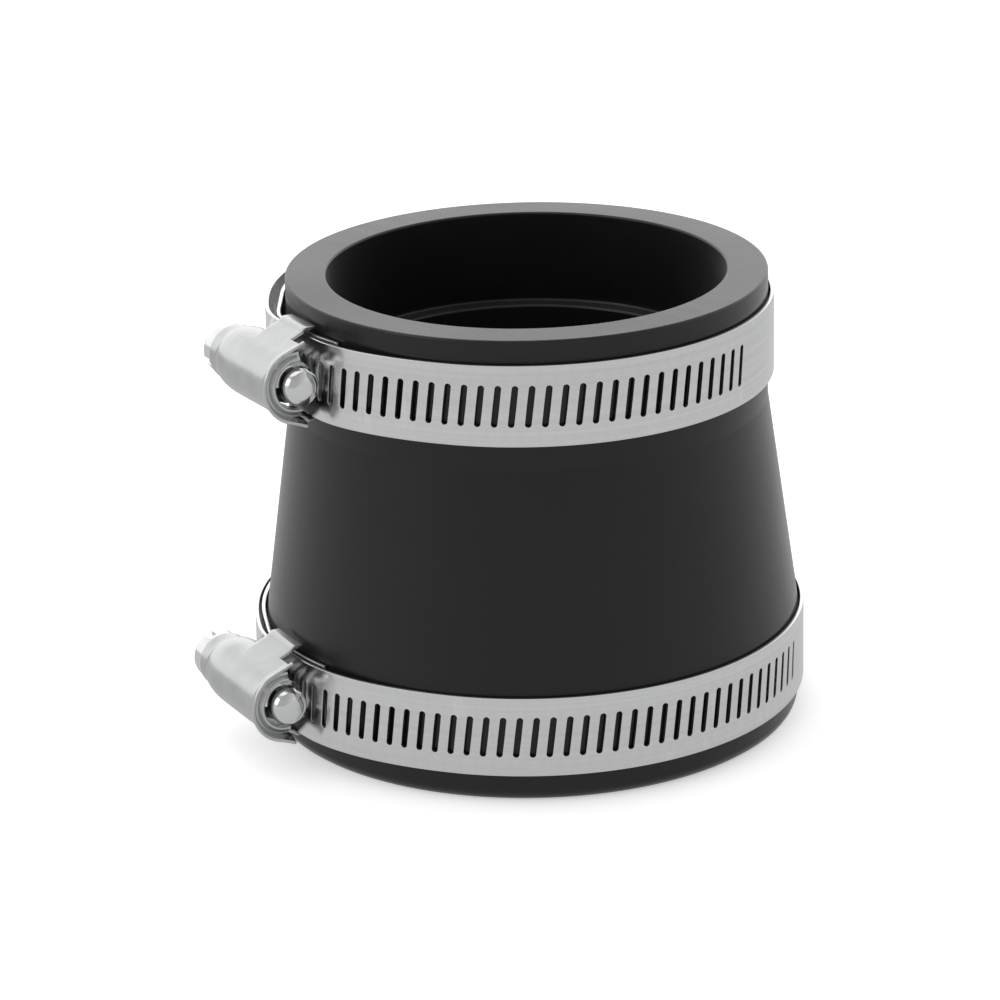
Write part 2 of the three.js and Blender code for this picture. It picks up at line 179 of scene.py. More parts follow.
# The shell's outer radius and the mouth's rolled lip, as (place along the screw, radius), and the
# dished end wall in the mouth, as (radius, place along the screw, fillet radius), in millimetres
TUBE_RADIUS = 5.4
TUBE_PROFILE = [(-6, TUBE_RADIUS), (8, 5.38), (9.6, 5.3), (10.8, 5.16), (11.6, 5.0), (12.1, 4.72),
                (12.6, 4.5), (13.2, 4.45), (NOSE_END, 4.45)]
LIP_PROFILE = [(-5.35, 5.46), (-5.6, 5.56), (-5.85, 5.7), (-6.1, 5.85), (-6.35, 5.97), (-6.65, 6.03),
               (-6.85, 6.0)]
MOUTH_WALL = [(5.1, -5.2, 0), (5.1, -5.65, 0.15), (4.7, -5.75, 0.5), (4.05, -6.45, 0.35),
              (3.75, -6.3, 0.12), (3.75, -5.2, 0.1)]


# ---------------------------------------------------------------- mesh tools

def deselect_everything():
    for other in bpy.context.selected_objects:
        other.select_set(False)


def make_active(piece):
    deselect_everything()
    piece.select_set(True)
    bpy.context.view_layer.objects.active = piece


def start_edit(piece):
    make_active(piece)
    bpy.ops.object.mode_set(mode="EDIT")
    bpy.ops.mesh.select_all(action="DESELECT")


def end_edit():
    bpy.ops.object.mode_set(mode="OBJECT")


def pick(kind, test):
    """Selects, in edit mode, only the verts, edges or faces whose middle passes the test."""
    bpy.ops.mesh.select_mode(type={"verts": "VERT", "edges": "EDGE", "faces": "FACE"}[kind])
    bpy.ops.mesh.select_all(action="DESELECT")
    shape = bmesh.from_edit_mesh(bpy.context.object.data)
    for item in getattr(shape, kind):
        if kind == "verts":
            middle = item.co
        elif kind == "edges":
            middle = (item.verts[0].co + item.verts[1].co) / 2
        else:
            middle = item.calc_center_median()
        item.select_set(bool(test(middle)))
    if kind == "verts":
        shape.select_flush(True)
    bmesh.update_edit_mesh(bpy.context.object.data)


def new_piece(name):
    """Names the primitive that was just added."""
    piece = bpy.context.active_object
    piece.name = name
    piece.data.name = name
    return piece


def apply_modifier(piece, kind, **settings):
    make_active(piece)
    modifier = piece.modifiers.new(kind.lower(), kind)
    for key, value in settings.items():
        setattr(modifier, key, value)
    bpy.ops.object.modifier_apply(modifier=modifier.name)


def join_pieces(main, others):
    make_active(main)
    for other in others:
        other.select_set(True)
    bpy.ops.object.join()
    return main


def merge_doubles(piece):
    start_edit(piece)
    bpy.ops.mesh.select_all(action="SELECT")
    bpy.ops.mesh.remove_doubles(threshold=TOUCH)
    end_edit()


def recalculate_outside(piece):
    start_edit(piece)
    bpy.ops.mesh.select_all(action="SELECT")
    bpy.ops.mesh.normals_make_consistent(inside=False)
    end_edit()


def smooth(piece, angle=40):
    """Smooth shading inside the sharp edges, led by the larger faces."""
    make_active(piece)
    bpy.ops.object.shade_smooth_by_angle(angle=math.radians(angle))
    apply_modifier(piece, "WEIGHTED_NORMAL", keep_sharp=True, weight=60)


def place(piece, matrix):
    """Moves a piece made at the origin to its place, and leaves the place in its mesh."""
    make_active(piece)
    piece.matrix_world = matrix @ piece.matrix_world
    bpy.ops.object.transform_apply(location=True, rotation=True, scale=True)


def round_corner(before, corner, after, radius, steps):
    """Points of a fillet at the corner between two straight stretches."""
    if not radius:
        return [corner]
    corner = Vector(corner)
    to_before = (Vector(before) - corner).normalized()
    to_after = (Vector(after) - corner).normalized()
    half_angle = to_before.angle(to_after) / 2
    reach = radius / math.tan(half_angle)
    centre = corner + (to_before + to_after).normalized() * radius / math.sin(half_angle)
    start = corner + to_before * reach - centre
    end = corner + to_after * reach - centre
    points = []
    for i in range(steps + 1):
        share = i / steps
        spoke = start.lerp(end, share)
        points.append(tuple(centre + spoke.normalized() * radius))
    return points


def rounded_outline(corners, steps=4, closed=True):
    """Corners are (x, y, fillet radius). Returns the outline with its fillets."""
    points = []
    count = len(corners)
    for i, (x, y, radius) in enumerate(corners):
        if not closed and i in (0, count - 1):
            points.append((x, y))
            continue
        before = corners[i - 1][:2]
        after = corners[(i + 1) % count][:2]
        points.extend(round_corner(before, (x, y), after, radius, steps))
    return points


def turned_ring(name, outline, sides):
    """A body turned about Z: a ring of verts is extruded from each station to the next; its ends are left
    open.
    """
    radius, height = outline[0]
    bpy.ops.mesh.primitive_circle_add(vertices=sides, radius=radius, location=(0, 0, height))
    piece = new_piece(name)
    bpy.ops.object.transform_apply(location=True, rotation=True, scale=True)
    bpy.ops.object.mode_set(mode="EDIT")
    bpy.ops.mesh.select_all(action="SELECT")
    for next_radius, next_height in outline[1:]:
        bpy.ops.mesh.extrude_region_move(
            TRANSFORM_OT_translate={"value": (0, 0, next_height - height)})
        scale = next_radius / radius
        bpy.ops.transform.resize(value=(scale, scale, 1), center_override=(0, 0, next_height))
        radius, height = next_radius, next_height
    return piece


def turned_body(name, outline, sides):
    """A turned body whose outline closes on itself."""
    piece = turned_ring(name, outline, sides)
    first_radius, first_height = outline[0]
    last_radius, last_height = outline[-1]
    reach = 0.002 * MM

    def on_open_rim(at):
        radius = math.hypot(at.x, at.y)
        on_first = abs(radius - first_radius) < reach and abs(at.z - first_height) < reach
        on_last = abs(radius - last_radius) < reach and abs(at.z - last_height) < reach
        return on_first or on_last

    pick("verts", on_open_rim)
    bpy.ops.mesh.bridge_edge_loops()
    end_edit()
    recalculate_outside(piece)
    return piece


def turned_rod(name, outline, sides):
    """A turned body whose outline runs from one end face to the other, with both ends filled."""
    piece = turned_ring(name, outline, sides)
    bpy.ops.mesh.select_mode(type="EDGE")
    bpy.ops.mesh.select_all(action="DESELECT")
    bpy.ops.mesh.select_non_manifold()
    bpy.ops.mesh.edge_face_add()
    end_edit()
    recalculate_outside(piece)
    return piece


# ---------------------------------------------------------------- sleeve

def build_sleeve():
    rim = 0.35 * MM
    # Corners as (radius, height, fillet radius)
    corners = [
        (LARGE_BORE, 0, 0.6 * MM),
        (LARGE_RADIUS, 0, 2 * MM),
        (LARGE_RADIUS, LARGE_COLLAR_TOP, 6 * MM),
        (SMALL_RADIUS, SMALL_COLLAR_FOOT, 1.2 * MM),
        (SMALL_RADIUS, SLEEVE_HEIGHT, rim),
        (SMALL_BORE, SLEEVE_HEIGHT, rim),
        (SMALL_BORE, SMALL_STOP_TOP, 0.5 * MM),
        (SMALL_BORE - STOP_STEP, SMALL_STOP_TOP, 0.5 * MM),
        (SMALL_BORE - STOP_STEP, SMALL_STOP_FOOT, 1.5 * MM),
        (LARGE_BORE - STOP_STEP, LARGE_STOP_FOOT, 0.5 * MM),
        (LARGE_BORE, LARGE_STOP_FOOT, 0.5 * MM),
    ]
    piece = turned_body("sleeve_moulding", rounded_outline(corners, steps=6), SLEEVE_SIDES)
    smooth(piece, 35)
    return piece


# ---------------------------------------------------------------- band strip

def ease(value, low, high):
    share = min(max((value - low) / (high - low), 0), 1)
    return share * share * (3 - 2 * share)


def through(table, at):
    """A smooth line through the points of a table, level before the first and after the last."""
    last = len(table) - 1
    if at <= table[0][0]:
        return table[0][1]
    if at >= table[last][0]:
        return table[last][1]
    i = next(k for k, point in enumerate(table) if point[0] > at) - 1

    def slope(k):
        before = table[max(k - 1, 0)]
        after = table[min(k + 1, last)]
        return (after[1] - before[1]) / (after[0] - before[0])

    x0, y0 = table[i]
    x1, y1 = table[i + 1]
    width = x1 - x0
    t = (at - x0) / width
    start = (1 - t) ** 2 * (slope(i) * width * t + y0 * (1 + 2 * t))
    return start + t * t * (slope(i + 1) * width * (t - 1) + y1 * (3 - 2 * t))


class BandPath:
    """The line that the middle of a band's thickness follows, seen from above its clamp.
    Turn is counted in degrees from the screw, starting on the head's side."""

    def __init__(self, layout):
        self.inner = layout["collar"] + BAND_CLEARANCE
        self.free_inner = self.inner + BAND_THICKNESS + LAYER_GAP
        self.layout = layout
        self.screw_height = (self.free_inner + BAND_THICKNESS + layout["stand_off"]
                             + THREAD_CLEARANCE + THREAD_RADIUS)
        self.turns = []
        self.points = []
        self.lengths = [0]
        steps = 2 * (360 + TAIL_END - FIXED_END)
        for i in range(steps + 1):
            turn = FIXED_END + i / 2
            self.turns.append(turn)
            self.points.append(self.at(turn))
        for before, after in zip(self.points, self.points[1:]):
            self.lengths.append(self.lengths[-1] + (after - before).length)

    def radius(self, turn):
        if turn < 180:
            face = self.inner + through(self.layout["fixed_end"], turn) * MM
        elif turn < 360:
            climb = ease(turn, 360 - RAMP_FOOT, 360 - RAMP_TOP)
            face = self.inner + (self.free_inner - self.inner) * climb
            face += through(self.layout["ramp"], 360 - turn) * MM
        else:
            face = self.free_inner + through(self.layout["tail"], turn - 360) * MM
        return face + BAND_THICKNESS / 2

    def at(self, turn):
        radius = self.radius(turn)
        angle = math.radians(-turn)
        return Vector((radius * math.cos(angle), radius * math.sin(angle), 0))

    def length_at(self, turn):
        return self.lengths[round((turn - FIXED_END) * 2)]


def path_curve(name, points):
    """A helper curve for bending a flat strip."""
    curve = bpy.data.curves.new(name, "CURVE")
    curve.dimensions = "3D"
    curve.twist_mode = "Z_UP"
    spline = curve.splines.new("POLY")
    spline.points.add(len(points) - 1)
    for item, point in zip(spline.points, points):
        item.co = (*point, 1)
    holder = bpy.data.objects.new(name, curve)
    bpy.context.collection.objects.link(holder)
    return holder


def plain_strip(name, start, end, columns):
    """A flat stretch of strip in the XZ plane."""
    bpy.ops.mesh.primitive_grid_add(
        x_subdivisions=columns, y_subdivisions=STRIP_ROWS, size=1,
        location=((start + end) / 2, 0, 0), rotation=(math.pi / 2, 0, 0))
    piece = new_piece(name)
    piece.scale = (end - start, BAND_WIDTH, 1)
    bpy.ops.object.transform_apply(location=True, rotation=True, scale=True)
    return piece


def slotted_cell(name, start, pitch):
    """One slot pitch of strip: a leaning slot's rim joined to the edge of the cell."""
    middle = start + pitch / 2
    hair = 0.01 * MM

    def inside_cell(at):
        from_end = min(at.x - start, start + pitch - at.x)
        return from_end > hair and abs(at.z) < BAND_WIDTH / 2 - hair

    bpy.ops.mesh.primitive_circle_add(
        vertices=SLOT_SIDES, radius=SLOT_WIDTH / 2, location=(middle, 0, 0), rotation=(math.pi / 2, 0, 0))
    slot = new_piece("slot_rim")
    bpy.ops.object.transform_apply(location=True, rotation=True, scale=True)
    reach = (SLOT_LENGTH - SLOT_WIDTH) / 2
    start_edit(slot)
    for side in (1, -1):
        pick("verts", lambda at, side=side: at.z * side > hair)
        bpy.ops.transform.translate(value=(0, 0, side * reach))
    end_edit()
    lean = Matrix.Rotation(-SLOT_LEAN, 4, "Y")
    place(slot, Matrix.Translation((middle, 0, 0)) @ lean @ Matrix.Translation((-middle, 0, 0)))
    cell = plain_strip(name, start, start + pitch, COLUMNS_IN_PITCH)
    start_edit(cell)
    bpy.ops.mesh.select_all(action="SELECT")
    bpy.ops.mesh.delete(type="ONLY_FACE")
    pick("edges", inside_cell)
    bpy.ops.mesh.delete(type="EDGE")
    pick("verts", inside_cell)
    bpy.ops.mesh.delete(type="VERT")
    end_edit()
    join_pieces(cell, [slot])
    start_edit(cell)
    bpy.ops.mesh.select_mode(type="EDGE")
    bpy.ops.mesh.select_all(action="SELECT")
    bpy.ops.mesh.bridge_edge_loops()
    end_edit()
    return cell


def finish_strip(piece, points, edge):
    """Gives a flat strip its thickness and rounded edges, and bends it along its path."""
    recalculate_outside(piece)
    apply_modifier(piece, "SOLIDIFY", thickness=BAND_THICKNESS, offset=0)
    apply_modifier(piece, "BEVEL", width=edge, segments=2, limit_method="ANGLE",
                   angle_limit=math.radians(50), use_clamp_overlap=True)
    holder = path_curve("strip_path", points)
    apply_modifier(piece, "CURVE", object=holder, deform_axis="POS_X")
    bpy.data.objects.remove(holder)
    recalculate_outside(piece)
    smooth(piece, 40)


def build_band(name, path, layout):
    pitch_angle = math.degrees(SLOT_SPACING / (path.inner + BAND_THICKNESS))
    pitch = math.radians(pitch_angle) * (path.inner + BAND_THICKNESS / 2)
    first_turn = 360 - layout["first_slot"]
    first_slot = path.length_at(first_turn)
    whole = path.lengths[-1]
    slots_start = first_slot - pitch / 2
    tail_plain = math.radians(TAIL_PLAIN) * path.inner
    count = int((whole - tail_plain - slots_start) / pitch)
    slots_end = slots_start + count * pitch
    plain = plain_strip(name, 0, slots_start, round(slots_start / pitch * COLUMNS_IN_PITCH))
    cell = slotted_cell("slotted_cell", slots_start, pitch)
    apply_modifier(cell, "ARRAY", count=count, use_relative_offset=False,
                   use_constant_offset=True, constant_offset_displace=(pitch, 0, 0),
                   use_merge_vertices=True, merge_threshold=TOUCH)
    tip = plain_strip("tail_tip", slots_end, whole, TIP_COLUMNS)
    start_edit(tip)
    corner = (whole - slots_end) / TIP_COLUMNS
    for columns_in, share in ((0, 0.7), (1, 0.9), (2, 0.98)):
        at_x = whole - columns_in * corner
        pick("verts", lambda at, at_x=at_x: abs(at.x - at_x) < corner / 3)
        bpy.ops.transform.resize(value=(1, 1, share), center_override=(at_x, 0, 0))
    end_edit()
    band = join_pieces(plain, [cell, tip])
    merge_doubles(band)
    finish_strip(band, path.points, STRIP_EDGE)
    return band


def build_saddle(name, path):
    points = []
    length = 0
    for i in range(SADDLE_STEPS + 1):
        degrees = SADDLE_START + (SADDLE_TONGUE - SADDLE_START) * i / SADDLE_STEPS
        table = path.layout["fixed_end" if degrees < 0 else "tongue"]
        radius = path.inner + through(table, abs(degrees)) * MM + BAND_THICKNESS / 2
        angle = math.radians(degrees)
        points.append(Vector((radius * math.cos(angle), radius * math.sin(angle), 0)))
        if i:
            length += (points[-1] - points[-2]).length
    piece = plain_strip(name, 0, length, SADDLE_COLUMNS)
    finish_strip(piece, points, SADDLE_EDGE)
    return piece


# ---------------------------------------------------------------- worm screw

def build_thread(name):
    """The worm's thread: a blunt V section swept round the core by a Screw modifier."""
    bpy.ops.mesh.primitive_plane_add(size=1, location=(0, 0, 0), rotation=(math.pi / 2, 0, 0))
    thread = new_piece(name)
    depth = THREAD_RADIUS - CORE_RADIUS + THREAD_ROOT_DEPTH
    thread.scale = (depth, THREAD_ROOT_WIDTH, 1)
    bpy.ops.object.transform_apply(location=True, rotation=True, scale=True)
    start_edit(thread)
    pick("verts", lambda at: at.x > 0)
    bpy.ops.transform.resize(value=(1, 1, THREAD_CREST_SHARE), center_override=(0, 0, 0))
    bpy.ops.mesh.bevel(offset=THREAD_ROUND, segments=2, affect="VERTICES")
    bpy.ops.mesh.select_all(action="SELECT")
    bpy.ops.mesh.delete(type="ONLY_FACE")
    end_edit()
    place(thread, Matrix.Translation((THREAD_RADIUS - depth / 2, 0, THREAD_START)))
    turns = (THREAD_END - THREAD_START) / SLOT_SPACING
    steps = round(STEPS_IN_TURN * turns)
    apply_modifier(thread, "SCREW", angle=2 * math.pi * turns, screw_offset=THREAD_END - THREAD_START,
                   steps=steps, render_steps=steps, axis="Z",
                   use_merge_vertices=False, use_smooth_shade=False)
    start_edit(thread)
    bpy.ops.mesh.select_mode(type="EDGE")
    bpy.ops.mesh.select_non_manifold()
    bpy.ops.mesh.edge_face_add()
    end_edit()
    recalculate_outside(thread)
    return thread


def cut_driver_slot(screw, turn):
    """The slot across the head for a flat screwdriver."""
    bpy.ops.mesh.primitive_cube_add(size=1, location=(0, 0, HEAD_END))
    cutter = new_piece("driver_slot_cutter")
    cutter.scale = (DRIVER_SLOT_WIDTH, 3 * HEAD_RADIUS, 2 * DRIVER_SLOT_DEPTH)
    cutter.rotation_euler = (0, 0, math.radians(turn))
    bpy.ops.object.transform_apply(location=True, rotation=True, scale=True)
    apply_modifier(screw, "BOOLEAN", operation="DIFFERENCE", object=cutter, solver="EXACT")
    bpy.data.objects.remove(cutter)


def build_screw(name, layout):
    # Corners as (radius, place along the screw, fillet radius)
    corners = [
        (0.3 * MM, TIP_END, 0),
        (1.6 * MM, TIP_END + 0.12 * MM, 2 * MM),
        (2.6 * MM, TIP_END + 0.75 * MM, 1.2 * MM),
        (TIP_RADIUS, TIP_END + 1.6 * MM, 1.1 * MM),
        (TIP_RADIUS, TIP_START, 0.2 * MM),
        (CORE_RADIUS, TIP_START + 0.4 * MM, 0.1 * MM),
        (CORE_RADIUS, NECK_START, 0),
        (NECK_RADIUS, NECK_START + 0.3 * MM, 0.2 * MM),
        (NECK_RADIUS, HEAD_START, 0.15 * MM),
        (HEAD_RADIUS, HEAD_START, 0.25 * MM),
        (HEAD_RADIUS, HEAD_END, 1.1 * MM),
        (1.0 * MM, HEAD_END, 0),
    ]
    outline = rounded_outline(corners, steps=6, closed=False)
    screw = turned_rod(name, outline, SCREW_SIDES)
    cut_driver_slot(screw, layout["driver_turn"])
    apply_modifier(screw, "BEVEL", width=0.13 * MM, segments=2, limit_method="ANGLE",
                   angle_limit=math.radians(42), use_clamp_overlap=True)
    join_pieces(screw, [build_thread("worm_thread")])
    smooth(screw, 38)
    return screw


# ---------------------------------------------------------------- housing shell

def tube_stations():
    """Places along the screw of the shell's rings of verts, in millimetres."""
    stations = MOUTH_STATIONS + [WING_TIP_END]
    for i in range(1, WING_STATIONS + 1):
        stations.append(WING_TIP_END + (WING_HEAD_END - WING_TIP_END) * i / WING_STATIONS)
    for i in range(1, NOSE_STATIONS + 1):
        stations.append(WING_HEAD_END + (NOSE_END - WING_HEAD_END) * i / NOSE_STATIONS)
    return stations


def wing_path(shoulder, foot):
    """Steps of the wing's outer face: off the tube, out over the strip's edge and down the skirt."""
    arc = math.radians(TUBE_ARC)
    leave = Vector((TUBE_RADIUS * MM * math.cos(arc), TUBE_RADIUS * MM * math.sin(arc)))
    along = Vector((-math.sin(arc), math.cos(arc)))
    edge = Vector((shoulder + 0.85 * MM, SKIRT_HALF - 0.62 * MM))
    corner = Vector((shoulder - 0.1 * MM, SKIRT_HALF))
    points = [leave]
    sheet = [leave, leave + along * 1.9 * MM, edge - Vector((-1.5 * MM, 0.62 * MM)), edge]
    bend = [edge, edge + Vector((-0.45 * MM, 0.2 * MM)), corner + Vector((0.42 * MM, 0)), corner]
    for curve, steps in ((sheet, 12), (bend, 6)):
        for i in range(1, steps + 1):
            points.append(bezier(curve, i / steps))
    for i in range(1, 4):
        points.append(corner.lerp(Vector((foot, SKIRT_HALF)), i / 3))
    return points


def bezier(points, share):
    a, b, c, d = points
    left = 1 - share
    return a * left ** 3 + b * 3 * left ** 2 * share + c * 3 * left * share ** 2 + d * share ** 3


def pick_long_edge(corner, side, start, end):
    """Picks the sheet's long edge at a corner of its section, between two places along the screw."""
    def on_edge(at):
        close = math.hypot(at.x - corner.x, at.z * side - corner.y) < 0.08 * MM
        return close and start < -at.y / MM < end

    pick("edges", on_edge)


def draw_out(side, points):
    """Draws the picked edge out through the points of a section, step by step."""
    for before, after in zip(points, points[1:]):
        step = after - before
        bpy.ops.mesh.extrude_region_move(TRANSFORM_OT_translate={"value": (step.x, 0, side * step.y)})


def draw_wing(side, points):
    """Draws one wing from the tube. Its outer part, over the strip's edge, is cut back from the mouth."""
    pick_long_edge(points[0], side, MOUTH_PLACE - 0.1, WING_HEAD_END)
    draw_out(side, points[:WING_CUT + 1])
    pick_long_edge(points[WING_CUT], side, WING_TIP_END, WING_HEAD_END)
    draw_out(side, points[WING_CUT:])


def draw_nose(side):
    """Carries the tube's long edge on round the screw, behind the wing."""
    steps = 12
    turn = math.radians(NOSE_ARC - TUBE_ARC) / steps
    slope = math.tan(math.radians(90 - TUBE_ARC))

    def on_edge(at):
        on_ray = abs(at.x - slope * at.z * side) < 0.02 * MM and at.z * side > 0
        return on_ray and -at.y / MM > WING_HEAD_END

    pick("edges", on_edge)
    for _ in range(steps):
        bpy.ops.mesh.extrude_region_move(TRANSFORM_OT_translate={"value": (0, 0, 0)})
        bpy.ops.transform.rotate(value=side * turn, orient_axis="Y", center_override=(0, 0, 0))


def draw_lip():
    """Draws the mouth's edge out into its rolled lip."""
    pick("edges", lambda at: -at.y / MM < MOUTH_PLACE + 0.01)
    place_before, radius_before = MOUTH_PLACE, TUBE_RADIUS
    for place_now, radius in LIP_PROFILE:
        bpy.ops.mesh.extrude_region_move(
            TRANSFORM_OT_translate={"value": (0, (place_before - place_now) * MM, 0)})
        scale = radius / radius_before
        bpy.ops.transform.resize(value=(scale, 1, scale), center_override=(0, 0, 0))
        place_before, radius_before = place_now, radius


def build_housing(name, path):
    """The stamped shell: the top of its tube, with the wings, the mouth and the nose drawn from it."""
    foot = path.inner + SKIRT_FOOT - path.screw_height
    shoulder = path.free_inner + BAND_THICKNESS + path.layout["stand_off"] - path.screw_height
    stations = tube_stations()
    bpy.ops.mesh.primitive_grid_add(x_subdivisions=len(stations) - 1, y_subdivisions=TUBE_ROWS, size=2)
    shell = new_piece(name)
    for vert in shell.data.vertices:
        along = stations[round((vert.co.x + 1) / 2 * (len(stations) - 1))]
        angle = math.radians(TUBE_ARC * vert.co.y)
        radius = through(TUBE_PROFILE, along)
        vert.co = Vector((radius * math.cos(angle), -along, radius * math.sin(angle))) * MM
    start_edit(shell)
    points = wing_path(shoulder, foot)
    for side in (1, -1):
        draw_wing(side, points)
        draw_nose(side)
    draw_lip()
    end_edit()
    recalculate_outside(shell)
    crown = Vector((TUBE_RADIUS * MM, 0, 0))
    top_face = min(shell.data.polygons, key=lambda face: (face.center - crown).length)
    if top_face.normal.x < 0:
        shell.data.flip_normals()
    apply_modifier(shell, "SOLIDIFY", thickness=SHELL_WALL, offset=-1, use_even_offset=True)
    apply_modifier(shell, "BEVEL", width=0.24 * MM, segments=3, limit_method="ANGLE",
                   angle_limit=math.radians(50), use_clamp_overlap=True)
    join_pieces(shell, [build_mouth_wall("mouth_wall")])
    smooth(shell, 45)
    return shell


def build_mouth_wall(name):
    """The dished wall inside the mouth, round the screw's tip, left open over the band."""
    corners = [(radius * MM, along * MM, fillet * MM) for radius, along, fillet in MOUTH_WALL]
    wall = turned_body(name, rounded_outline(corners, steps=4), 96)
    wall.rotation_euler = (math.pi / 2, 0, 0)
    bpy.ops.object.transform_apply(location=True, rotation=True, scale=True)
    start_edit(wall)
    bpy.ops.mesh.select_all(action="SELECT")
    bpy.ops.mesh.bisect(plane_co=(WALL_OPENING, 0, 0), plane_no=(1, 0, 0), use_fill=True, clear_inner=True)
    end_edit()
    recalculate_outside(wall)
    return wall


# ---------------------------------------------------------------- shader groups

class NodeSheet:
    """Adds and links shader nodes with little writing."""

    def __init__(self, tree):
        self.tree = tree

    def add(self, kind, settings=None, **inputs):
        node = self.tree.nodes.new(kind)
        for key, value in (settings or {}).items():
            setattr(node, key, value)
        for key, value in inputs.items():
            socket = node.inputs[int(key[1:])] if key[0] == "i" and key[1:].isdigit() \
                else node.inputs[key.replace("_", " ")]
            self.feed(socket, value)
        return node

    def feed(self, socket, value):
        if isinstance(value, bpy.types.NodeSocket):
            self.tree.links.new(value, socket)
        else:
            socket.default_value = value

    def maths(self, operation, first, second=0.0, clamp=False):
        return self.add("ShaderNodeMath", {"operation": operation, "use_clamp": clamp},
                        i0=first, i1=second).outputs[0]

    def noise(self, vector, scale, detail=3.0, roughness=0.5, distortion=0.0):
        return self.add("ShaderNodeTexNoise", Vector=vector, Scale=scale, Detail=detail,
                        Roughness=roughness, Distortion=distortion).outputs["Fac"]

    def spread(self, value, low, high, to_low, to_high):
        node = self.add("ShaderNodeMapRange", {"clamp": True}, Value=value)
        node.inputs["From Min"].default_value = low
        node.inputs["From Max"].default_value = high
        self.feed(node.inputs["To Min"], to_low)
        self.feed(node.inputs["To Max"], to_high)
        return node.outputs[0]

    def stretched(self, vector, scale):
        return self.add("ShaderNodeMapping", Vector=vector, Scale=scale).outputs[0]

    def mix_colour(self, share, first, second):
        node = self.add("ShaderNodeMix", {"data_type": "RGBA"})
        self.feed(node.inputs[0], share)
        self.feed(node.inputs[6], first)
        self.feed(node.inputs[7], second)
        return node.outputs[2]


def new_group(name, inputs, outputs):
    tree = bpy.data.node_groups.new(name, "ShaderNodeTree")
    for label, kind, default in inputs:
        socket = tree.interface.new_socket(name=label, in_out="INPUT", socket_type=kind)
        socket.default_value = default
    for label, kind in outputs:
        tree.interface.new_socket(name=label, in_out="OUTPUT", socket_type=kind)
    sheet = NodeSheet(tree)
    return tree, sheet, tree.nodes.new("NodeGroupInput").outputs, tree.nodes.new("NodeGroupOutput").inputs


def brushed_lines_group():
    """Fine scratches that run round Z, as strip is brushed along its length."""
    tree, sheet, given, out = new_group(
        "brushed_lines",
        [("Fineness", "NodeSocketFloat", 9.0), ("Contrast", "NodeSocketFloat", 1.0)],
        [("Lines", "NodeSocketFloat"), ("Patches", "NodeSocketFloat")])
    place_on = sheet.add("ShaderNodeTexCoord").outputs["Object"]
    scaled = sheet.add("ShaderNodeVectorMath", {"operation": "SCALE"}, i0=place_on)
    sheet.feed(scaled.inputs["Scale"], given["Fineness"])
    fine = sheet.noise(sheet.stretched(scaled.outputs[0], (8, 8, 1500)), 1.0, 4.0, 0.65)
    coarse = sheet.noise(sheet.stretched(scaled.outputs[0], (3, 3, 260)), 1.0, 3.0, 0.6)
    both = sheet.maths("ADD", sheet.maths("MULTIPLY", fine, 0.6), sheet.maths("MULTIPLY", coarse, 0.4))
    centred = sheet.maths("MULTIPLY", sheet.maths("SUBTRACT", both, 0.5), given["Contrast"])
    sheet.feed(out["Lines"], centred)
    sheet.feed(out["Patches"], sheet.noise(place_on, 60.0, 2.0, 0.5))
    return tree


def edge_wear_and_crease_shade_group():
    """Where a form turns sharply: bright edge wear on outer edges, and painted shade that darkens the
    creases.
    """
    tree, sheet, given, out = new_group(
        "edge_wear",
        [("Width", "NodeSocketFloat", 0.05), ("Breakup", "NodeSocketFloat", 900.0)],
        [("Edges", "NodeSocketFloat"), ("Creases", "NodeSocketFloat")])
    turned = sheet.add("ShaderNodeNewGeometry").outputs["Pointiness"]
    place_on = sheet.add("ShaderNodeTexCoord").outputs["Object"]
    breakup = sheet.noise(place_on, given["Breakup"], 3.0, 0.6)
    over = sheet.maths("DIVIDE", sheet.maths("SUBTRACT", turned, 0.5), given["Width"])
    edges = sheet.maths("MULTIPLY", over, sheet.spread(breakup, 0.35, 0.65, 0.5, 1.0), clamp=True)
    sheet.feed(out["Edges"], edges)
    # Painted shade: this output darkens the hollows where shade would fall
    sheet.feed(out["Creases"], sheet.maths("MULTIPLY", over, -1.0, clamp=True))
    return tree


def cloudy_group():
    """Slow cloudy change and fine grain, both from 0 to 1."""
    tree, sheet, given, out = new_group(
        "cloudy_grain",
        [("Cloud Scale", "NodeSocketFloat", 60.0), ("Grain Scale", "NodeSocketFloat", 2500.0)],
        [("Clouds", "NodeSocketFloat"), ("Grain", "NodeSocketFloat")])
    place_on = sheet.add("ShaderNodeTexCoord").outputs["Object"]
    sheet.feed(out["Clouds"], sheet.noise(place_on, given["Cloud Scale"], 5.0, 0.55))
    sheet.feed(out["Grain"], sheet.noise(place_on, given["Grain Scale"], 3.0, 0.6))
    return tree


BRUSHED = brushed_lines_group()
WEAR_AND_CREASE_SHADE = edge_wear_and_crease_shade_group()
CLOUDY = cloudy_group()


def new_material(name):
    material = bpy.data.materials.new(name)
    material.use_nodes = True
    sheet = NodeSheet(material.node_tree)
    shader = material.node_tree.nodes["Principled BSDF"]
    return material, sheet, shader


def use_group(sheet, tree, **inputs):
    node = sheet.add("ShaderNodeGroup", {"node_tree": tree})
    for key, value in inputs.items():
        sheet.feed(node.inputs[key.replace("_", " ")], value)
    return node.outputs


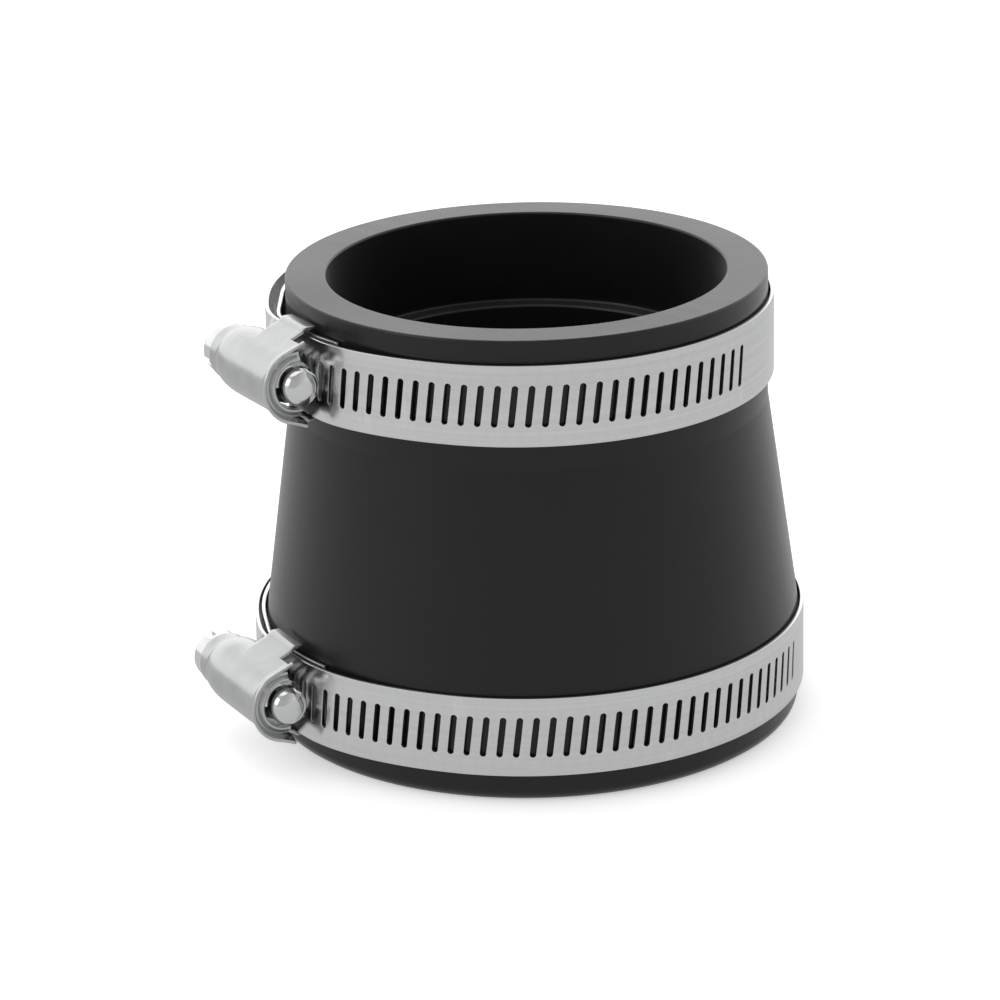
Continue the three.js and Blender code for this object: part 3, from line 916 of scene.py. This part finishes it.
def moulded_rubber():
    material, sheet, shader = new_material("moulded_rubber")
    cloudy = use_group(sheet, CLOUDY, Cloud_Scale=45.0, Grain_Scale=2600.0)
    wear_and_shade = use_group(sheet, WEAR_AND_CREASE_SHADE, Width=0.06, Breakup=700.0)
    base = sheet.mix_colour(cloudy["Clouds"], (0.0050, 0.0051, 0.0053, 1), (0.0085, 0.0087, 0.0090, 1))
    worn = sheet.mix_colour(sheet.maths("MULTIPLY", wear_and_shade["Edges"], 0.35), base, (0.06, 0.06, 0.062, 1))
    sheet.feed(shader.inputs["Base Color"], worn)
    mottled = sheet.maths("ADD", sheet.maths("MULTIPLY", cloudy["Clouds"], 0.16),
                          sheet.maths("MULTIPLY", cloudy["Grain"], 0.10))
    sheet.feed(shader.inputs["Roughness"], sheet.maths("ADD", mottled, 0.17))
    shader.inputs["Specular IOR Level"].default_value = 0.36
    shader.inputs["Sheen Weight"].default_value = 0.2
    shader.inputs["Sheen Roughness"].default_value = 0.35
    bump = sheet.add("ShaderNodeBump", Strength=0.35, Distance=0.00004, Height=cloudy["Grain"])
    slow = sheet.add("ShaderNodeBump", Strength=0.25, Distance=0.0003, Height=cloudy["Clouds"],
                     Normal=bump.outputs[0])
    sheet.feed(shader.inputs["Normal"], slow.outputs[0])
    return material


def strip_steel(name, tone, roughness):
    material, sheet, shader = new_material(name)
    brushed = use_group(sheet, BRUSHED, Fineness=1.0, Contrast=1.0)
    wear_and_shade = use_group(sheet, WEAR_AND_CREASE_SHADE, Width=0.05, Breakup=1200.0)
    dark = (tone * 0.86, tone * 0.865, tone * 0.87, 1)
    light = (tone * 1.08, tone * 1.085, tone * 1.09, 1)
    lined = sheet.mix_colour(sheet.spread(brushed["Lines"], -0.2, 0.2, 0.0, 1.0), dark, light)
    edged = sheet.mix_colour(sheet.maths("MULTIPLY", wear_and_shade["Edges"], 0.3), lined, (0.9, 0.9, 0.91, 1))
    sheet.feed(shader.inputs["Base Color"], edged)
    shader.inputs["Metallic"].default_value = 1.0
    varied = sheet.maths("ADD", sheet.maths("MULTIPLY", brushed["Lines"], 0.22),
                         sheet.maths("MULTIPLY", brushed["Patches"], 0.08))
    sheet.feed(shader.inputs["Roughness"], sheet.maths("ADD", varied, roughness))
    bump = sheet.add("ShaderNodeBump", Strength=0.2, Distance=0.00002, Height=brushed["Lines"])
    sheet.feed(shader.inputs["Normal"], bump.outputs[0])
    return material


def pressed_steel():
    material, sheet, shader = new_material("pressed_steel")
    cloudy = use_group(sheet, CLOUDY, Cloud_Scale=260.0, Grain_Scale=4200.0)
    wear_and_shade = use_group(sheet, WEAR_AND_CREASE_SHADE, Width=0.06, Breakup=1500.0)
    base = sheet.mix_colour(cloudy["Clouds"], (0.44, 0.445, 0.45, 1), (0.58, 0.585, 0.59, 1))
    edged = sheet.mix_colour(sheet.maths("MULTIPLY", wear_and_shade["Edges"], 0.35), base, (0.9, 0.9, 0.91, 1))
    # Painted shade: the creases are darkened towards a dark grey, where shade would fall
    crease_shaded = sheet.mix_colour(sheet.maths("MULTIPLY", wear_and_shade["Creases"], 0.4), edged, (0.3, 0.3, 0.31, 1))
    sheet.feed(shader.inputs["Base Color"], crease_shaded)
    shader.inputs["Metallic"].default_value = 1.0
    varied = sheet.maths("ADD", sheet.maths("MULTIPLY", cloudy["Clouds"], 0.12),
                         sheet.maths("MULTIPLY", cloudy["Grain"], 0.06))
    sheet.feed(shader.inputs["Roughness"], sheet.maths("ADD", varied, 0.16))
    bump = sheet.add("ShaderNodeBump", Strength=0.12, Distance=0.00002, Height=cloudy["Grain"])
    sheet.feed(shader.inputs["Normal"], bump.outputs[0])
    return material


def bright_plate():
    material, sheet, shader = new_material("bright_plate")
    cloudy = use_group(sheet, CLOUDY, Cloud_Scale=300.0, Grain_Scale=5000.0)
    wear_and_shade = use_group(sheet, WEAR_AND_CREASE_SHADE, Width=0.06, Breakup=1500.0)
    base = sheet.mix_colour(cloudy["Clouds"], (0.66, 0.665, 0.67, 1), (0.78, 0.785, 0.79, 1))
    # Painted shade: the creases are darkened towards a dark grey, where shade would fall
    crease_shaded = sheet.mix_colour(sheet.maths("MULTIPLY", wear_and_shade["Creases"], 0.6), base, (0.28, 0.28, 0.29, 1))
    sheet.feed(shader.inputs["Base Color"], crease_shaded)
    shader.inputs["Metallic"].default_value = 1.0
    sheet.feed(shader.inputs["Roughness"],
               sheet.maths("ADD", sheet.maths("MULTIPLY", cloudy["Clouds"], 0.10), 0.09))
    bump = sheet.add("ShaderNodeBump", Strength=0.1, Distance=0.00002, Height=cloudy["Grain"])
    sheet.feed(shader.inputs["Normal"], bump.outputs[0])
    return material


# ---------------------------------------------------------------- assembly

def clothe(piece, material, body, node):
    piece.data.materials.clear()
    piece.data.materials.append(material)
    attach(piece, body)
    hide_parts(node)


def drive_matrix(prefix):
    """From the screw's own axes to the row frame: x outwards, -y to the head, z up the coupling."""
    joint = joints[f"{prefix}_screw_turn"]
    head = Vector(joint["axis"]).normalized()
    outwards = Vector((-head.y, head.x, 0)).normalized()
    up = outwards.cross(-head)
    turn = Matrix((outwards, -head, up)).transposed().to_4x4()
    return Matrix.Translation(Vector(joint["pos_m"])) @ turn


def clamp_matrix(prefix):
    """From a clamp's own axes, with x through its screw, to the row frame."""
    head = Vector(joints[f"{prefix}_screw_turn"]["axis"])
    height = joints[f"{prefix}_clamp_swivel"]["pos_m"][2]
    turn = math.atan2(head.x, -head.y)
    return Matrix.Translation((0, 0, height)) @ Matrix.Rotation(turn, 4, "Z")


def build_clamp(prefix, layout, steels):
    path = BandPath(layout)
    on_collar = clamp_matrix(prefix)
    on_screw = drive_matrix(prefix)
    clamp = f"{prefix}_clamp"
    band = build_band(f"{prefix}_strip", path, layout)
    place(band, on_collar)
    clothe(band, steels["band_steel"], clamp, f"{prefix}_band")
    saddle = build_saddle(f"{prefix}_saddle_plate", path)
    place(saddle, on_collar)
    clothe(saddle, steels["saddle_steel"], clamp, f"{prefix}_saddle")
    housing = build_housing(f"{prefix}_shell", path)
    place(housing, on_screw)
    clothe(housing, steels["housing_steel"], clamp, f"{prefix}_housing")
    screw = build_screw(f"{prefix}_worm", layout)
    place(screw, on_screw @ Matrix.Rotation(math.pi / 2, 4, "X"))
    clothe(screw, steels["screw_steel"], f"{prefix}_screw", f"{prefix}_screw")


def build_coupling():
    clothe(build_sleeve(), moulded_rubber(), "sleeve", "rubber_sleeve")
    steels = {
        "band_steel": strip_steel("brushed_strip", 0.72, 0.18),
        "saddle_steel": strip_steel("saddle_strip", 0.7, 0.28),
        "housing_steel": pressed_steel(),
        "screw_steel": bright_plate(),
    }
    for prefix, layout in CLAMPS.items():
        build_clamp(prefix, layout, steels)


# ---------------------------------------------------------------- floor, light and camera

# The camera's place from the middle of the coupling's top, and the angle at which it looks down
CAMERA_FROM_TOP = Vector((-4.87, -612.3, 183.8)) * MM
CAMERA_FALL = math.radians(19.945)
CAMERA_ROLL = math.radians(-1.263)
CAMERA_LENS = 147.6


def build_floor():
    bpy.ops.mesh.primitive_plane_add(size=8, location=(0, 1, 0))
    floor = new_piece("studio_floor")
    material, sheet, shader = new_material("studio_white")
    rays = sheet.add("ShaderNodeLightPath").outputs
    tone = sheet.mix_colour(rays["Is Glossy Ray"], (0.95, 0.95, 0.95, 1), (0.15, 0.15, 0.15, 1))
    sheet.feed(shader.inputs["Base Color"], tone)
    watched = sheet.mix_colour(rays["Is Camera Ray"], (0, 0, 0, 1), (0.45, 0.45, 0.45, 1))
    glow = sheet.mix_colour(rays["Is Glossy Ray"], watched, (0.52, 0.52, 0.52, 1))
    sheet.feed(shader.inputs["Emission Color"], glow)
    shader.inputs["Emission Strength"].default_value = 1.0
    shader.inputs["Roughness"].default_value = 0.9
    shader.inputs["Specular IOR Level"].default_value = 0.1
    floor.data.materials.append(material)


def add_softbox(name, place_at, aim_at, size, power):
    light = bpy.data.lights.new(name, "AREA")
    light.shape = "RECTANGLE"
    light.size, light.size_y = size
    light.energy = power
    holder = bpy.data.objects.new(name, light)
    bpy.context.collection.objects.link(holder)
    holder.location = place_at
    holder.rotation_euler = (Vector(aim_at) - Vector(place_at)).to_track_quat("-Z", "Y").to_euler()


def light_studio():
    world = bpy.data.worlds.new("studio_air")
    bpy.context.scene.world = world
    world.use_nodes = True
    sheet = NodeSheet(world.node_tree)
    direction = sheet.add("ShaderNodeTexCoord").outputs["Generated"]
    axes = sheet.add("ShaderNodeSeparateXYZ", Vector=direction).outputs
    behind = sheet.spread(axes["Y"], -0.9, 0.9, 0.5, 1.5)
    overhead = sheet.spread(axes["Z"], 0.35, 0.95, 1.0, 0.5)
    strength = sheet.maths("MULTIPLY", behind, overhead)
    background = world.node_tree.nodes["Background"]
    background.inputs["Color"].default_value = (1, 1, 1, 1)
    sheet.feed(background.inputs["Strength"], strength)
    middle = (0, 0, SLEEVE_HEIGHT / 2)
    add_softbox("overhead_softbox", (-0.2, 0.1, 0.9), middle, (0.8, 0.8), 1.5)
    add_softbox("left_softbox", (-0.8, -0.5, 0.5), middle, (0.5, 0.6), 1.2)


def set_camera():
    """The camera stands in front of the coupling and looks down on it, rolled very slightly."""
    top = Vector((0, 0, SLEEVE_HEIGHT))
    camera = bpy.data.cameras.new("product_camera")
    camera.sensor_width = 36
    camera.lens = CAMERA_LENS
    camera.clip_start = 0.01
    camera.dof.use_dof = False
    holder = bpy.data.objects.new("product_camera", camera)
    bpy.context.collection.objects.link(holder)
    pitch = Matrix.Rotation(math.pi / 2 - CAMERA_FALL, 4, "X")
    roll = Matrix.Rotation(CAMERA_ROLL, 4, "Z")
    holder.matrix_world = Matrix.Translation(top + CAMERA_FROM_TOP) @ pitch @ roll
    bpy.context.scene.camera = holder


set_camera()
bpy.context.scene.view_settings.view_transform = "Standard"
light_studio()
build_floor()
build_coupling()
